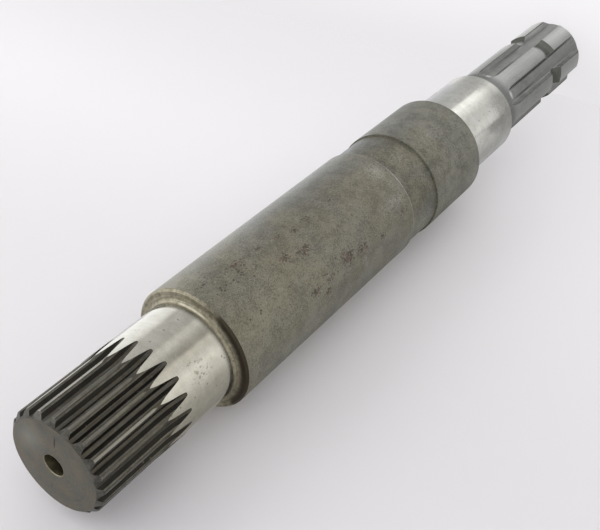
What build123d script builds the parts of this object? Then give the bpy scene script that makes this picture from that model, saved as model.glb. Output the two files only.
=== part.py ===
"""Splined tractor power take-off shaft, turned, milled and ground from one steel bar.

All sizes are in millimetres. The shaft stands on its power take-off end, with the origin
in the middle of that end face, +Z along the axis and +X through the middle of a drive tooth.
"""
from build123d import *
import math
import os

# Lengths along the axis, from the foot upwards
STUB_LENGTH = 92.2
OUTER_SEAT_LENGTH = 42.5
COLLAR_LENGTH = 39.5
RECESS_LENGTH = 20.2
BODY_LENGTH = 113.4
INNER_SEAT_LENGTH = 37.9
SPLINE_LENGTH = 28.5

# Turned and ground diameters
STUB_DIAMETER = 34.8
OUTER_SEAT_DIAMETER = 40.0
COLLAR_DIAMETER = 48.8
RECESS_DIAMETER = 47.4
BODY_DIAMETER = 49.2
INNER_SEAT_DIAMETER = 40.0
SPLINE_TIP_DIAMETER = 39.6

# Edges and inside corners of the turned blank
STUB_CHAMFER_DEPTH = 2.9
STUB_CHAMFER_ANGLE = 30.0
STUB_CORNER_RADIUS = 0.8
OUTER_SEAT_CHAMFER = 0.5
OUTER_CORNER_RADIUS = 1.0
COLLAR_CHAMFER = 0.8
RECESS_CORNER_RADIUS = 0.4
BODY_CHAMFER = 0.8
INNER_CORNER_RADIUS = 2.0
INNER_SEAT_LEAD = 2.4
SPLINE_CHAMFER = 2.1

# Straight-sided drive teeth of the stub, and the ring groove that locks the coupling
DRIVE_TEETH = 6
DRIVE_TOOTH_WIDTH = 8.7
DRIVE_ROOT_DIAMETER = 29.4
SLOT_LENGTH = 78.7
SLOT_CUTTER_RADIUS = 8.0
RING_GROOVE_HEIGHT = 33.7
RING_GROOVE_RADIUS = 6.8
RING_GROOVE_DIAMETER = 29.5
RING_GROOVE_LIP = 0.3

# Toothed end, its spaces milled by a disc cutter that runs out into the inner seat
SPLINE_TEETH = 20
SPLINE_ROOT_DIAMETER = 35.9
SPLINE_FIRST_SPACE_ANGLE = -4.25
SPACE_FLOOR_WIDTH = 1.5
SPACE_FLANK_ANGLE = 31.9
SPACE_FLANK_HEIGHT = 1.38
TOOTH_EDGE_WIDTH = 0.43
TOOTH_EDGE_HEIGHT = 0.31
TOOTH_CROWN_RISE = 0.03
SPLINE_CUTTER_RADIUS = 48.8

# Holes on the axis
END_HOLE_DIAMETER = 8.2
END_HOLE_DEPTH = 30.0
DRILL_POINT_ANGLE = 118.0
CENTRE_CONE_ANGLE = 60.0
CENTRE_CONE_DIAMETER = 6.7
CENTRE_PILOT_DIAMETER = 3.15
CENTRE_PILOT_DEPTH = 6.5

# Radii of the steps
STUB_RADIUS = STUB_DIAMETER / 2
OUTER_SEAT_RADIUS = OUTER_SEAT_DIAMETER / 2
COLLAR_RADIUS = COLLAR_DIAMETER / 2
RECESS_RADIUS = RECESS_DIAMETER / 2
BODY_RADIUS = BODY_DIAMETER / 2
INNER_SEAT_RADIUS = INNER_SEAT_DIAMETER / 2
SPLINE_TIP_RADIUS = SPLINE_TIP_DIAMETER / 2

# Heights of the steps
STUB_TOP = STUB_LENGTH
OUTER_SEAT_TOP = STUB_TOP + OUTER_SEAT_LENGTH
COLLAR_TOP = OUTER_SEAT_TOP + COLLAR_LENGTH
RECESS_TOP = COLLAR_TOP + RECESS_LENGTH
BODY_TOP = RECESS_TOP + BODY_LENGTH
INNER_SEAT_TOP = BODY_TOP + INNER_SEAT_LENGTH
TOTAL_LENGTH = INNER_SEAT_TOP + SPLINE_LENGTH

# How far a cutting solid reaches past the metal, and into the next space's cutter
AIR = 1.5
SPACE_OVERLAP = 0.03


def draw_stub():
    """Outline of the stub from the axis at its foot to the corner under the outer seat."""
    chamfer_rise = STUB_CHAMFER_DEPTH / math.tan(math.radians(STUB_CHAMFER_ANGLE))
    groove_edge_radius = STUB_RADIUS - RING_GROOVE_LIP
    groove_centre_radius = RING_GROOVE_DIAMETER / 2 + RING_GROOVE_RADIUS
    half_groove = math.sqrt(RING_GROOVE_RADIUS**2 - (groove_centre_radius - groove_edge_radius) ** 2)
    foot = Polyline(
        (0, 0),
        (STUB_RADIUS - STUB_CHAMFER_DEPTH, 0),
        (STUB_RADIUS, chamfer_rise),
        (STUB_RADIUS, RING_GROOVE_HEIGHT - half_groove - RING_GROOVE_LIP),
        (groove_edge_radius, RING_GROOVE_HEIGHT - half_groove),
    )
    groove = ThreePointArc(
        foot @ 1,
        (RING_GROOVE_DIAMETER / 2, RING_GROOVE_HEIGHT),
        (groove_edge_radius, RING_GROOVE_HEIGHT + half_groove),
    )
    barrel = Polyline(
        groove @ 1,
        (STUB_RADIUS, RING_GROOVE_HEIGHT + half_groove + RING_GROOVE_LIP),
        (STUB_RADIUS, STUB_TOP - STUB_CORNER_RADIUS),
    )
    return TangentArc(barrel @ 1, (STUB_RADIUS + STUB_CORNER_RADIUS, STUB_TOP), tangent=(0, 1))


def draw_outer_seat(start):
    """Outline of the outer bearing seat, up to the corner under the collar."""
    seat = Polyline(
        start,
        (OUTER_SEAT_RADIUS - OUTER_SEAT_CHAMFER, STUB_TOP),
        (OUTER_SEAT_RADIUS, STUB_TOP + OUTER_SEAT_CHAMFER),
        (OUTER_SEAT_RADIUS, OUTER_SEAT_TOP - OUTER_CORNER_RADIUS),
    )
    corner_end = (OUTER_SEAT_RADIUS + OUTER_CORNER_RADIUS, OUTER_SEAT_TOP)
    return TangentArc(seat @ 1, corner_end, tangent=(0, 1))


def draw_collar_and_recess(start):
    """Outline of the collar and the shallow recess above it, up to the body."""
    collar = Polyline(
        start,
        (COLLAR_RADIUS - COLLAR_CHAMFER, OUTER_SEAT_TOP),
        (COLLAR_RADIUS, OUTER_SEAT_TOP + COLLAR_CHAMFER),
        (COLLAR_RADIUS, COLLAR_TOP),
        (RECESS_RADIUS + RECESS_CORNER_RADIUS, COLLAR_TOP),
    )
    low = TangentArc(collar @ 1, (RECESS_RADIUS, COLLAR_TOP + RECESS_CORNER_RADIUS), tangent=(-1, 0))
    recess = Line(low @ 1, (RECESS_RADIUS, RECESS_TOP - RECESS_CORNER_RADIUS))
    high_end = (RECESS_RADIUS + RECESS_CORNER_RADIUS, RECESS_TOP)
    return TangentArc(recess @ 1, high_end, tangent=(0, 1))


def draw_body_and_top(start):
    """Outline of the body, the inner seat and the toothed end, back down the axis."""
    body = Polyline(
        start,
        (BODY_RADIUS, RECESS_TOP),
        (BODY_RADIUS, BODY_TOP - BODY_CHAMFER),
        (BODY_RADIUS - BODY_CHAMFER, BODY_TOP),
        (INNER_SEAT_RADIUS + INNER_CORNER_RADIUS, BODY_TOP),
    )
    corner = TangentArc(body @ 1, (INNER_SEAT_RADIUS, BODY_TOP + INNER_CORNER_RADIUS), tangent=(-1, 0))
    return Polyline(
        corner @ 1,
        (INNER_SEAT_RADIUS, INNER_SEAT_TOP - INNER_SEAT_LEAD),
        (SPLINE_TIP_RADIUS, INNER_SEAT_TOP),
        (SPLINE_TIP_RADIUS, TOTAL_LENGTH - SPLINE_CHAMFER),
        (SPLINE_TIP_RADIUS - SPLINE_CHAMFER, TOTAL_LENGTH),
        (0, TOTAL_LENGTH),
        (0, 0),
    )


def turned_blank():
    """The bar after turning and grinding, before any teeth are milled."""
    with BuildPart() as blank:
        with BuildSketch(Plane.XZ):
            with BuildLine():
                stub_end = draw_stub()
                seat_end = draw_outer_seat(stub_end @ 1)
                recess_end = draw_collar_and_recess(seat_end @ 1)
                draw_body_and_top(recess_end @ 1)
            make_face()
        revolve(axis=Axis.Z)
    return blank.part


def milled_space(section, cutter_axis, run_out_angle, depth_direction, length):
    """A milled space: the section carried along the shaft, then swung up out of the metal."""
    straight = extrude(section, amount=length, dir=depth_direction)
    run_out = revolve(section, cutter_axis, run_out_angle)
    return straight + run_out


def drive_slot():
    """Cutting solid for the slot between two drive teeth, drawn with its middle on +X."""
    half_pitch = math.radians(180 / DRIVE_TEETH)
    half_width = DRIVE_TOOTH_WIDTH / 2
    root_radius = DRIVE_ROOT_DIAMETER / 2
    outer_radius = STUB_RADIUS + AIR

    def flank_point(radius):
        along = math.sqrt(radius**2 - half_width**2)
        height = along * math.cos(half_pitch) + half_width * math.sin(half_pitch)
        offset = along * math.sin(half_pitch) - half_width * math.cos(half_pitch)
        return height, offset

    root = flank_point(root_radius)
    rim = flank_point(outer_radius)
    with BuildSketch(Plane.XY.offset(SLOT_LENGTH)) as section:
        with BuildLine():
            floor = ThreePointArc((root[0], -root[1]), (root_radius, 0), root)
            Polyline(floor @ 1, rim, (rim[0], -rim[1]), floor @ 0)
        make_face()
    cutter_axis = Axis((root_radius + SLOT_CUTTER_RADIUS, 0, SLOT_LENGTH), (0, 1, 0))
    return milled_space(section.sketch, cutter_axis, 60, (0, 0, -1), SLOT_LENGTH + AIR)


def spline_space():
    """Cutting solid for one space of the toothed end, drawn with its middle on +X."""
    root_radius = SPLINE_ROOT_DIAMETER / 2
    half_floor = SPACE_FLOOR_WIDTH / 2
    flank_width = SPACE_FLANK_HEIGHT * math.tan(math.radians(SPACE_FLANK_ANGLE))
    flank_top = (root_radius + SPACE_FLANK_HEIGHT, half_floor + flank_width)
    edge_top = (flank_top[0] + TOOTH_EDGE_HEIGHT, flank_top[1] + TOOTH_EDGE_WIDTH)
    half_pitch = INNER_SEAT_RADIUS * math.tan(math.pi / SPLINE_TEETH)
    crown = (edge_top[0] + TOOTH_CROWN_RISE, half_pitch + SPACE_OVERLAP)
    rim_height = INNER_SEAT_RADIUS + AIR
    right = [(root_radius, half_floor), flank_top, edge_top, crown, (rim_height, crown[1])]
    left = [(height, -offset) for height, offset in reversed(right)]
    with BuildSketch(Plane.XY.offset(INNER_SEAT_TOP)) as section:
        with BuildLine():
            Polyline(*right, *left, close=True)
        make_face()
    cutter_axis = Axis((root_radius + SPLINE_CUTTER_RADIUS, 0, INNER_SEAT_TOP), (0, -1, 0))
    return milled_space(section.sketch, cutter_axis, 25, (0, 0, 1), SPLINE_LENGTH + AIR)


def ring_of(cutter, count, first_angle):
    """Copies of a cutting solid, evenly spaced round the shaft."""
    step = 360 / count
    return [Rot(0, 0, first_angle + step * index) * cutter for index in range(count)]


def end_hole():
    """Cutting solid for the blind hole in the toothed end."""
    radius = END_HOLE_DIAMETER / 2
    point = radius / math.tan(math.radians(DRILL_POINT_ANGLE / 2))
    floor = TOTAL_LENGTH - END_HOLE_DEPTH
    with BuildPart() as hole:
        with BuildSketch(Plane.XZ):
            with BuildLine():
                Polyline(
                    (0, TOTAL_LENGTH + AIR),
                    (radius, TOTAL_LENGTH + AIR),
                    (radius, floor),
                    (0, floor - point),
                    close=True,
                )
            make_face()
        revolve(axis=Axis.Z)
    return hole.part


def foot_centre():
    """Cutting solid for the lathe centre in the foot: a cone and its pilot drilling."""
    cone_slope = math.tan(math.radians(CENTRE_CONE_ANGLE / 2))
    cone_radius = CENTRE_CONE_DIAMETER / 2
    pilot_radius = CENTRE_PILOT_DIAMETER / 2
    cone_depth = (cone_radius - pilot_radius) / cone_slope
    point = pilot_radius / math.tan(math.radians(DRILL_POINT_ANGLE / 2))
    with BuildPart() as hole:
        with BuildSketch(Plane.XZ):
            with BuildLine():
                Polyline(
                    (0, -AIR),
                    (cone_radius + AIR * cone_slope, -AIR),
                    (pilot_radius, cone_depth),
                    (pilot_radius, CENTRE_PILOT_DEPTH),
                    (0, CENTRE_PILOT_DEPTH + point),
                    close=True,
                )
            make_face()
        revolve(axis=Axis.Z)
    return hole.part


def splined_shaft():
    """The finished shaft as one solid."""
    shaft = turned_blank()
    half_pitch = 180 / DRIVE_TEETH
    for cutter in ring_of(drive_slot(), DRIVE_TEETH, half_pitch):
        shaft = shaft - cutter
    for cutter in ring_of(spline_space(), SPLINE_TEETH, SPLINE_FIRST_SPACE_ANGLE):
        shaft = shaft - cutter
    return shaft - end_hole() - foot_centre()


def main():
    os.makedirs("parts", exist_ok=True)
    export_step(splined_shaft(), "parts/splined_shaft.step")


main()
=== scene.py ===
"""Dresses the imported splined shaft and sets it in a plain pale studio.

The shaft is one piece of steel, so it stays one piece here: a finely turned blank whose
teeth are milled with cutters of their real sections. Sizes are written in millimetres, as
on a workshop drawing, and the finished mesh is brought to metres at the end.
"""

import logging
import math
from dataclasses import dataclass, field
from enum import Enum
from typing import Callable, Iterable, Sequence

import bmesh
import bpy
from mathutils import Euler, Matrix, Vector


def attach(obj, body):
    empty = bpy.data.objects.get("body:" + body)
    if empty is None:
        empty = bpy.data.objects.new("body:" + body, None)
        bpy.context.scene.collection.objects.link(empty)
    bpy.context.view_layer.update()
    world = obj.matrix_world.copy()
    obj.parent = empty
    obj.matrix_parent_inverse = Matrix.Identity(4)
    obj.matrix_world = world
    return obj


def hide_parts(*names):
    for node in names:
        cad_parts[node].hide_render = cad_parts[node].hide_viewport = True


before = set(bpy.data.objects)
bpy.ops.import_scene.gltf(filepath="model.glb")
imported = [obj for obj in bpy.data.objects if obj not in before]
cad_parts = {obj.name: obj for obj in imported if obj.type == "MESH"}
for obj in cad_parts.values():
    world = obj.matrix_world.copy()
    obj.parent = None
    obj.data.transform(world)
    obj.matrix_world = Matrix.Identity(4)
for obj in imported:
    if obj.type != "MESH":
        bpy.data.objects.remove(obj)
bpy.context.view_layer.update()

CAD_NODE = "splined_shaft"
MM = 0.001
AXIS = {"cent": (0.0, 0.0, 0.0), "axis": (0.0, 0.0, 1.0)}

Mesh = bmesh.types.BMesh
Face = bmesh.types.BMFace
Vert = bmesh.types.BMVert
Material = bpy.types.Material
Socket = bpy.types.NodeSocket

log = logging.getLogger("splined_shaft")


class Zone(Enum):
    """The differently finished surfaces of the shaft, numbered as its material slots."""

    END_HOLE = 0
    END_FACE = 1
    FINE_LAND = 2
    FINE_SPACE = 3
    TOOTH_EDGE = 4
    SEAT = 5
    SHOULDER = 6
    BODY = 7
    RECESS = 8
    COLLAR = 9
    STUB_LAND = 10
    STUB_SLOT = 11
    FOOT = 12
    TOOTH_END = 13
    STUB_GROOVE = 14
    FINE_WALL = 15


@dataclass(frozen=True)
class Corner:
    """A corner of the turned outline, in millimetres.

    Args:
        r: Radius from the axis.
        z: Height above the foot.
        setback: How far along each side the corner is rounded; 0 leaves it sharp.
    """

    r: float
    z: float
    setback: float = 0.0


def wire(mesh: Mesh, corners: Iterable[Corner]) -> list[Vert]:
    """Draws a chain of corners in the XZ plane.

    Args:
        mesh: The mesh to draw in.
        corners: The corners in order.

    Returns:
        The chain's vertices in order.
    """
    chain = [mesh.verts.new((corner.r, 0.0, corner.z)) for corner in corners]
    for first, second in zip(chain, chain[1:]):
        mesh.edges.new((first, second))
    return chain


def round_vertex(mesh: Mesh, vertex: Vert, setback: float, segments: int) -> None:
    """Rounds one corner of an outline.

    Args:
        mesh: The mesh that holds the outline.
        vertex: The corner.
        setback: Distance from the corner to each end of the curve.
        segments: Number of straight pieces in the curve.
    """
    bmesh.ops.bevel(
        mesh,
        geom=[vertex],
        offset=setback,
        offset_type="OFFSET",
        segments=segments,
        profile=0.5,
        affect="VERTICES",
        material=-1,
        clamp_overlap=True,
    )


STEPS_ROUND = 240


def spin(mesh: Mesh, geometry: Sequence, angle: float, steps: int, **settings: object) -> dict:
    """Spins geometry, about the shaft's axis unless told otherwise, and returns what comes of it.

    Args:
        mesh: The mesh that holds it.
        geometry: The vertices, edges and faces to sweep.
        angle: How far round, in radians.
        steps: How many steps it takes.
        **settings: The operator's other settings.

    Returns:
        The operator's result.
    """
    usual = {**AXIS, "dvec": (0.0, 0.0, 0.0), "use_duplicate": False, "space": Matrix()}
    return bmesh.ops.spin(mesh, geom=geometry, angle=angle, steps=steps, **{**usual, **settings})


def spin_round(mesh: Mesh, geometry: Sequence, degrees: float = 360.0, copies: int = 0) -> None:
    """Sweeps or repeats geometry about the shaft's axis.

    Args:
        mesh: The mesh that holds it.
        geometry: The vertices, edges and faces to sweep.
        degrees: How far round.
        copies: If not 0, the geometry is repeated this many times and not swept.
    """
    steps = copies or round(STEPS_ROUND * degrees / 360.0)
    closed = degrees == 360.0 and not copies
    spin(mesh, geometry, math.radians(degrees), steps, use_merge=closed, use_duplicate=copies > 0)


def turned(mesh: Mesh, degrees: float) -> Mesh:
    """Turns a mesh about the shaft's axis.

    Args:
        mesh: The mesh, which is changed.
        degrees: How far it turns.

    Returns:
        The same mesh.
    """
    turn = Matrix.Rotation(math.radians(degrees), 3, "Z")
    bmesh.ops.rotate(mesh, verts=mesh.verts, cent=AXIS["cent"], matrix=turn)
    return mesh


@dataclass
class Blank:
    """The bar after turning and grinding. All sizes in millimetres."""

    length: float = 374.2
    hole_radius: float = 4.1
    hole_depth: float = 30.0
    spline_tip_radius: float = 19.8
    spline_chamfer: float = 2.1
    spline_foot: float = 345.7
    seat_radius: float = 20.0
    inner_corner_radius: float = 2.0
    body_top: float = 307.8
    body_radius: float = 24.6
    body_foot: float = 194.4
    recess_radius: float = 23.7
    collar_top: float = 174.2
    collar_radius: float = 24.4
    collar_foot: float = 134.7
    stub_top: float = 92.2
    stub_radius: float = 17.4
    stub_chamfer: float = 2.9
    groove_height: float = 33.7
    groove_radius: float = 6.8
    groove_floor_radius: float = 14.75
    groove_lip: float = 0.3
    core_radius: float = 10.0
    seat_lead: float = 2.4
    shoulder_chamfer: float = 0.8
    seat_chamfer: float = 0.5
    centre_radius: float = 3.35
    centre_depth: float = 3.07
    pilot_radius: float = 1.575
    pilot_depth: float = 6.5
    pilot_tip: float = 7.45
    drill_half_angle: float = 59.0
    toothed_from: float = 322.0
    slotted_to: float = 88.0

    def end_disc(self) -> list[Corner]:
        """Returns the outline of the end hole and the middle of the toothed end's face."""
        point = self.hole_radius / math.tan(math.radians(self.drill_half_angle))
        floor = self.length - self.hole_depth
        return [
            Corner(0.0, floor - point),
            Corner(self.hole_radius, floor),
            Corner(self.hole_radius, self.length, 0.25),
            Corner(self.core_radius, self.length),
        ]

    def toothed_end(self) -> list[Corner]:
        """Returns the outline of the fine spline's part, down to plain seat."""
        return [
            Corner(self.core_radius, self.length),
            Corner(self.spline_tip_radius - self.spline_chamfer, self.length, 0.12),
            Corner(self.spline_tip_radius, self.length - self.spline_chamfer, 0.15),
            Corner(self.spline_tip_radius, self.spline_foot),
            Corner(self.seat_radius, self.spline_foot - self.seat_lead),
            Corner(self.seat_radius, self.toothed_from),
        ]

    def barrel(self) -> list[Corner]:
        """Returns the outline of the seats, shoulders, body, recess and collar."""
        edge, lip = self.shoulder_chamfer, self.seat_chamfer
        seat, body = self.seat_radius, self.body_radius
        recess, collar = self.recess_radius, self.collar_radius
        return [
            Corner(seat, self.toothed_from),
            Corner(seat, self.body_top, self.inner_corner_radius),
            Corner(body - edge, self.body_top, 0.15),
            Corner(body, self.body_top - edge, 0.2),
            Corner(body, self.body_foot, 0.25),
            Corner(recess, self.body_foot, 0.4),
            Corner(recess, self.collar_top, 0.4),
            Corner(collar, self.collar_top, 0.15),
            Corner(collar, self.collar_foot + edge, 0.25),
            Corner(collar - edge, self.collar_foot, 0.15),
            Corner(seat, self.collar_foot, 1.0),
            Corner(seat, self.stub_top + lip, 0.12),
            Corner(seat - lip, self.stub_top, 0.12),
            Corner(self.stub_radius, self.stub_top, 0.8),
            Corner(self.stub_radius, self.slotted_to),
        ]

    def foot_disc(self) -> list[Corner]:
        """Returns the outline of the middle of the foot and its lathe centre."""
        return [
            Corner(self.core_radius, 0.0),
            Corner(self.centre_radius, 0.0, 0.1),
            Corner(self.pilot_radius, self.centre_depth),
            Corner(self.pilot_radius, self.pilot_depth),
            Corner(0.0, self.pilot_tip),
        ]

    def stub_end(self, mesh: Mesh) -> None:
        """Draws the slotted part of the stub with its half-round ring groove.

        Args:
            mesh: The mesh to draw in.
        """
        lip_radius = self.stub_radius - self.groove_lip
        centre_radius = self.groove_floor_radius + self.groove_radius
        half = math.sqrt(self.groove_radius**2 - (centre_radius - lip_radius) ** 2)
        groove_top, groove_foot = self.groove_height + half, self.groove_height - half
        upper = [
            Corner(self.stub_radius, self.slotted_to),
            Corner(self.stub_radius, groove_top + self.groove_lip),
            Corner(lip_radius, groove_top),
        ]
        rise = self.stub_chamfer / math.tan(math.radians(30.0))
        lower = [
            Corner(self.stub_radius, groove_foot - self.groove_lip),
            Corner(self.stub_radius, rise, 0.3),
            Corner(self.stub_radius - self.stub_chamfer, 0.0, 0.12),
            Corner(self.core_radius, 0.0),
        ]
        upper_chain, lower_chain = wire(mesh, upper), wire(mesh, lower)
        opening = 2 * math.asin(half / self.groove_radius)
        hub = (centre_radius, 0.0, self.groove_height)
        arc = spin(mesh, [upper_chain[-1]], opening, 16, cent=hub, axis=(0.0, -1.0, 0.0))
        end = next(item for item in arc["geom_last"] if isinstance(item, Vert))
        mesh.edges.new((end, lower_chain[0]))
        round_chain(mesh, lower, lower_chain)

    def zone_of(self, face: Face) -> Zone:
        """Names the finish of a turned face.

        Args:
            face: A face of the blank.

        Returns:
            The zone that the face lies in.
        """
        centre = face.calc_center_median()
        radius, z = math.hypot(centre.x, centre.y), centre.z
        if radius < self.hole_radius + 0.2 and z > self.body_top:
            return Zone.END_HOLE
        if z > self.length - 0.05:
            return Zone.END_FACE
        if z < 0.05 or radius < self.centre_radius + 0.05:
            return Zone.FOOT
        bands = (
            (self.length - self.spline_chamfer + 0.1, Zone.TOOTH_END),
            (self.spline_foot - self.seat_lead - 0.05, Zone.FINE_LAND),
            (self.body_top + 1.95, Zone.SEAT),
            (self.body_top - self.shoulder_chamfer - 0.05, Zone.SHOULDER),
            (self.body_foot - 0.05, Zone.BODY),
            (self.collar_top + 0.01, Zone.RECESS),
            (self.collar_foot + self.shoulder_chamfer + 0.05, Zone.COLLAR),
            (self.collar_foot - 0.15, Zone.SHOULDER),
            (self.stub_top - 0.05, Zone.SEAT),
        )
        for foot, zone in bands:
            if z > foot:
                return zone
        beside_groove = abs(z - self.groove_height) < self.groove_radius
        return Zone.STUB_GROOVE if beside_groove and radius < self.stub_radius - 0.1 else Zone.STUB_LAND


def mark_zones(mesh: Mesh, zone_of: Callable[[Face], Zone]) -> Mesh:
    """Gives every face the material slot of its zone.

    Args:
        mesh: The mesh, which is changed.
        zone_of: Names the zone of a face.

    Returns:
        The same mesh.
    """
    for face in mesh.faces:
        face.material_index = zone_of(face).value
    return mesh


def round_chain(mesh: Mesh, corners: Sequence[Corner], chain: Sequence[Vert]) -> None:
    """Rounds every corner of a chain that has a setback.

    Args:
        mesh: The mesh that holds the chain.
        corners: The corners it was drawn from.
        chain: Its vertices, in the same order.
    """
    for corner, vertex in zip(corners, chain):
        if corner.setback > 0:
            round_vertex(mesh, vertex, corner.setback, 7 if corner.setback > 0.5 else 3)


def spun(corners: Sequence[Corner]) -> Mesh:
    """Draws an open outline, rounds it and spins it right round.

    Args:
        corners: The outline.

    Returns:
        The turned surface.
    """
    mesh = bmesh.new()
    round_chain(mesh, corners, wire(mesh, corners))
    spin_round(mesh, [*mesh.verts, *mesh.edges])
    bmesh.ops.remove_doubles(mesh, verts=mesh.verts, dist=1e-4)
    return mesh


def wedge(mesh: Mesh, core: Sequence[Corner], degrees: float) -> Mesh:
    """Closes an outline through the core of the bar and spins it into a solid wedge.

    Args:
        mesh: The mesh that holds the open outline.
        core: The two corners inside the metal that close it, the first beside its start.
        degrees: How far round the wedge goes.

    Returns:
        The same mesh, now a closed solid that starts on the XZ plane.
    """
    loose = [vertex for vertex in mesh.verts if len(vertex.link_edges) == 1]
    loose.sort(key=lambda vertex: (vertex.co - Vector((core[0].r, 0.0, core[0].z))).length)
    chain = wire(mesh, core)
    for outer in loose:
        nearest = min(chain, key=lambda vertex: (vertex.co - outer.co).length)
        if (nearest.co - outer.co).length > 1e-6:
            mesh.edges.new((outer, nearest))
    bmesh.ops.remove_doubles(mesh, verts=mesh.verts, dist=1e-5)
    bmesh.ops.contextual_create(mesh, geom=[*mesh.edges])
    spin_round(mesh, [*mesh.faces], degrees)
    bmesh.ops.recalc_face_normals(mesh, faces=mesh.faces)
    return mesh


@dataclass
class Cutter:
    """A milling cutter's path: a section carried along the shaft and swung up out of it.

    Args:
        half_section: Points (height, offset) from the floor outwards, on the +Y side.
        full_depth_at: Height where the full depth ends.
        reach: Signed distance from there to past the end of the shaft.
        radius: Radius of the cutter.
        swing: How far the run-out is swung, in degrees.
        floor_round: Setback that rounds the corners of the floor.
    """

    half_section: Sequence[tuple[float, float]]
    full_depth_at: float
    reach: float
    radius: float
    swing: float
    floor_round: float
    zones: Sequence[tuple[float, Zone]]

    def build(self) -> Mesh:
        """Returns the cutter as a closed solid with its middle on +X, in millimetres."""
        mesh = bmesh.new()
        z = self.full_depth_at
        right = [mesh.verts.new((height, offset, z)) for height, offset in self.half_section]
        left = [mesh.verts.new((height, -offset, z)) for height, offset in reversed(self.half_section)]
        ring = [*right, *left]
        for first, second in zip(ring, [*ring[1:], ring[0]]):
            mesh.edges.new((first, second))
        for corner in (right[1], left[-2]):
            round_vertex(mesh, corner, self.floor_round, 3)
        bmesh.ops.contextual_create(mesh, geom=[*mesh.edges])
        section = next(iter(mesh.faces))
        copy = bmesh.ops.duplicate(mesh, geom=[section, *section.edges, *section.verts])
        swept = [item for item in copy["geom"] if isinstance(item, Face)]
        hub = (self.half_section[0][0] + self.radius, 0.0, z)
        hinge = (0.0, -math.copysign(1.0, self.reach), 0.0)
        spin(mesh, swept, math.radians(self.swing), 24, cent=hub, axis=hinge)
        run = bmesh.ops.extrude_face_region(mesh, geom=[section])
        moved = [item for item in run["geom"] if isinstance(item, Vert)]
        bmesh.ops.translate(mesh, verts=moved, vec=(0.0, 0.0, self.reach))
        joint = [face for face in mesh.faces if all(abs(v.co.z - z) < 1e-3 for v in face.verts)]
        bmesh.ops.delete(mesh, geom=joint, context="FACES_ONLY")
        bmesh.ops.remove_doubles(mesh, verts=mesh.verts, dist=1e-4)
        bmesh.ops.recalc_face_normals(mesh, faces=mesh.faces)
        return mark_zones(mesh, self.zone_of)

    def zone_of(self, face: Face) -> Zone:
        """Names the finish that a face of the cutter leaves on the metal.

        Args:
            face: A face of the finished cutter.

        Returns:
            The zone of the metal that it cuts.
        """
        hub = Vector((self.half_section[0][0] + self.radius, 0.0, self.full_depth_at))
        heights = []
        for vertex in face.verts:
            if (vertex.co.z - hub.z) * self.reach < -1e-2:
                away = Vector((vertex.co.x, 0.0, vertex.co.z)) - hub
                heights.append(hub.x - away.length)
            else:
                heights.append(vertex.co.x)
        middle = sum(heights) / len(heights)
        found = self.zones[0][1]
        for from_height, zone in self.zones:
            if middle > from_height:
                found = zone
        return found


def mill(work: bpy.types.Object, cutter: bpy.types.Object) -> None:
    """Cuts one object's solid out of another and removes the cutter.

    Args:
        work: The object to cut.
        cutter: The solid to take away.
    """
    cut = work.modifiers.new("mill", "BOOLEAN")
    cut.operation = "DIFFERENCE"
    cut.solver = "EXACT"
    cut.material_mode = "INDEX"
    cut.object = cutter
    ready = bpy.context.evaluated_depsgraph_get()
    shape = work.evaluated_get(ready)
    milled = bpy.data.meshes.new_from_object(shape, preserve_all_data_layers=True, depsgraph=ready)
    work.modifiers.clear()
    work.data = milled
    bpy.data.objects.remove(cutter)


def milled_ring(mesh: Mesh, blank: Blank, cutter: Mesh, teeth: int, outer: float, inner: float) -> Mesh:
    """Cuts one space in a wedge, then repeats the wedge's outer surface right round.

    Args:
        mesh: The ring's rounded outline, open towards the core.
        blank: The blank it is a part of.
        cutter: The cutter of one space, with its middle on +X.
        teeth: How many spaces there are.
        outer: Height of the ring's end that is the shaft's end too.
        inner: Height of its end that lies inside the metal.

    Returns:
        The whole ring's surface.
    """
    pitch = math.tau / teeth
    core = [Corner(blank.core_radius, outer), Corner(blank.core_radius, inner)]
    solid = mark_zones(wedge(mesh, core, 360.0 / teeth), blank.zone_of)
    work = as_object("wedge", [solid])
    mill(work, as_object("cutter", [turned(cutter, 180.0 / teeth)]))
    ring = bmesh.new()
    ring.from_mesh(work.data)
    bpy.data.objects.remove(work)

    def buried(face: Face) -> bool:
        """Tells whether a face is a side, the inner end or the core of the wedge.

        Args:
            face: A face of the cut wedge.

        Returns:
            Whether it lies inside the metal once the ring is whole.
        """
        angles = [math.atan2(v.co.y, v.co.x) for v in face.verts]
        radii = [math.hypot(v.co.x, v.co.y) for v in face.verts]
        on_side = all(abs(a) < 1e-5 for a in angles) or all(abs(a - pitch) < 1e-5 for a in angles)
        on_end = all(abs(v.co.z - inner) < 1e-4 for v in face.verts)
        return on_side or on_end or all(r < blank.core_radius + 1e-3 for r in radii)

    bmesh.ops.delete(ring, geom=[face for face in ring.faces if buried(face)], context="FACES")
    spin_round(ring, [*ring.verts, *ring.edges, *ring.faces], 360.0 * (teeth - 1) / teeth, teeth - 1)
    bmesh.ops.remove_doubles(ring, verts=ring.verts, dist=1e-3)
    return ring


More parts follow.
